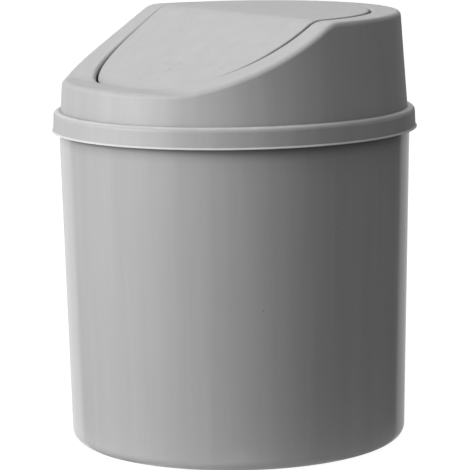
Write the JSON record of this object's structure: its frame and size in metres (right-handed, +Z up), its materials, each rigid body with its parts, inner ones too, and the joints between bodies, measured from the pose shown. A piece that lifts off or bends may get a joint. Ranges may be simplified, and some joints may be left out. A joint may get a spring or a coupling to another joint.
{
  "type": "push top countertop bin",
  "caption": "Round countertop bin: tapered bucket, lift-off collared lid with a sloping front, and a bent round flap that is pushed in and falls shut.",
  "frame": {"origin": "centre of the base, on the surface the bin stands on", "axes": "+Z up, -Y towards the front where the flap is pushed, +X to the right seen from the front"},
  "size_m": [0.146, 0.146, 0.1717],
  "materials": {
    "bin_plastic": "semi-gloss moulded polypropylene, mid grey",
    "lid_plastic": "satin moulded polypropylene, light grey",
    "pin_plastic": "natural moulded acetal"
  },
  "bodies": {
    "bin": {"bin_body": "bin_plastic"},
    "lid": {"lid_housing": "lid_plastic", "pivot_pin_left": "pin_plastic", "pivot_pin_right": "pin_plastic"},
    "flap": {"push_flap": "lid_plastic"}
  },
  "joints": [
    {"name": "lid_lift", "type": "slide", "parent": "bin", "child": "lid", "axis": [0, 0, 1], "range_m": [0, 0.06]},
    {"name": "flap_hinge", "type": "hinge", "parent": "lid", "child": "flap", "pos_m": [0, -0.003, 0.16267], "axis": [1, 0, 0], "range_deg": [0, 75]}
  ]
}
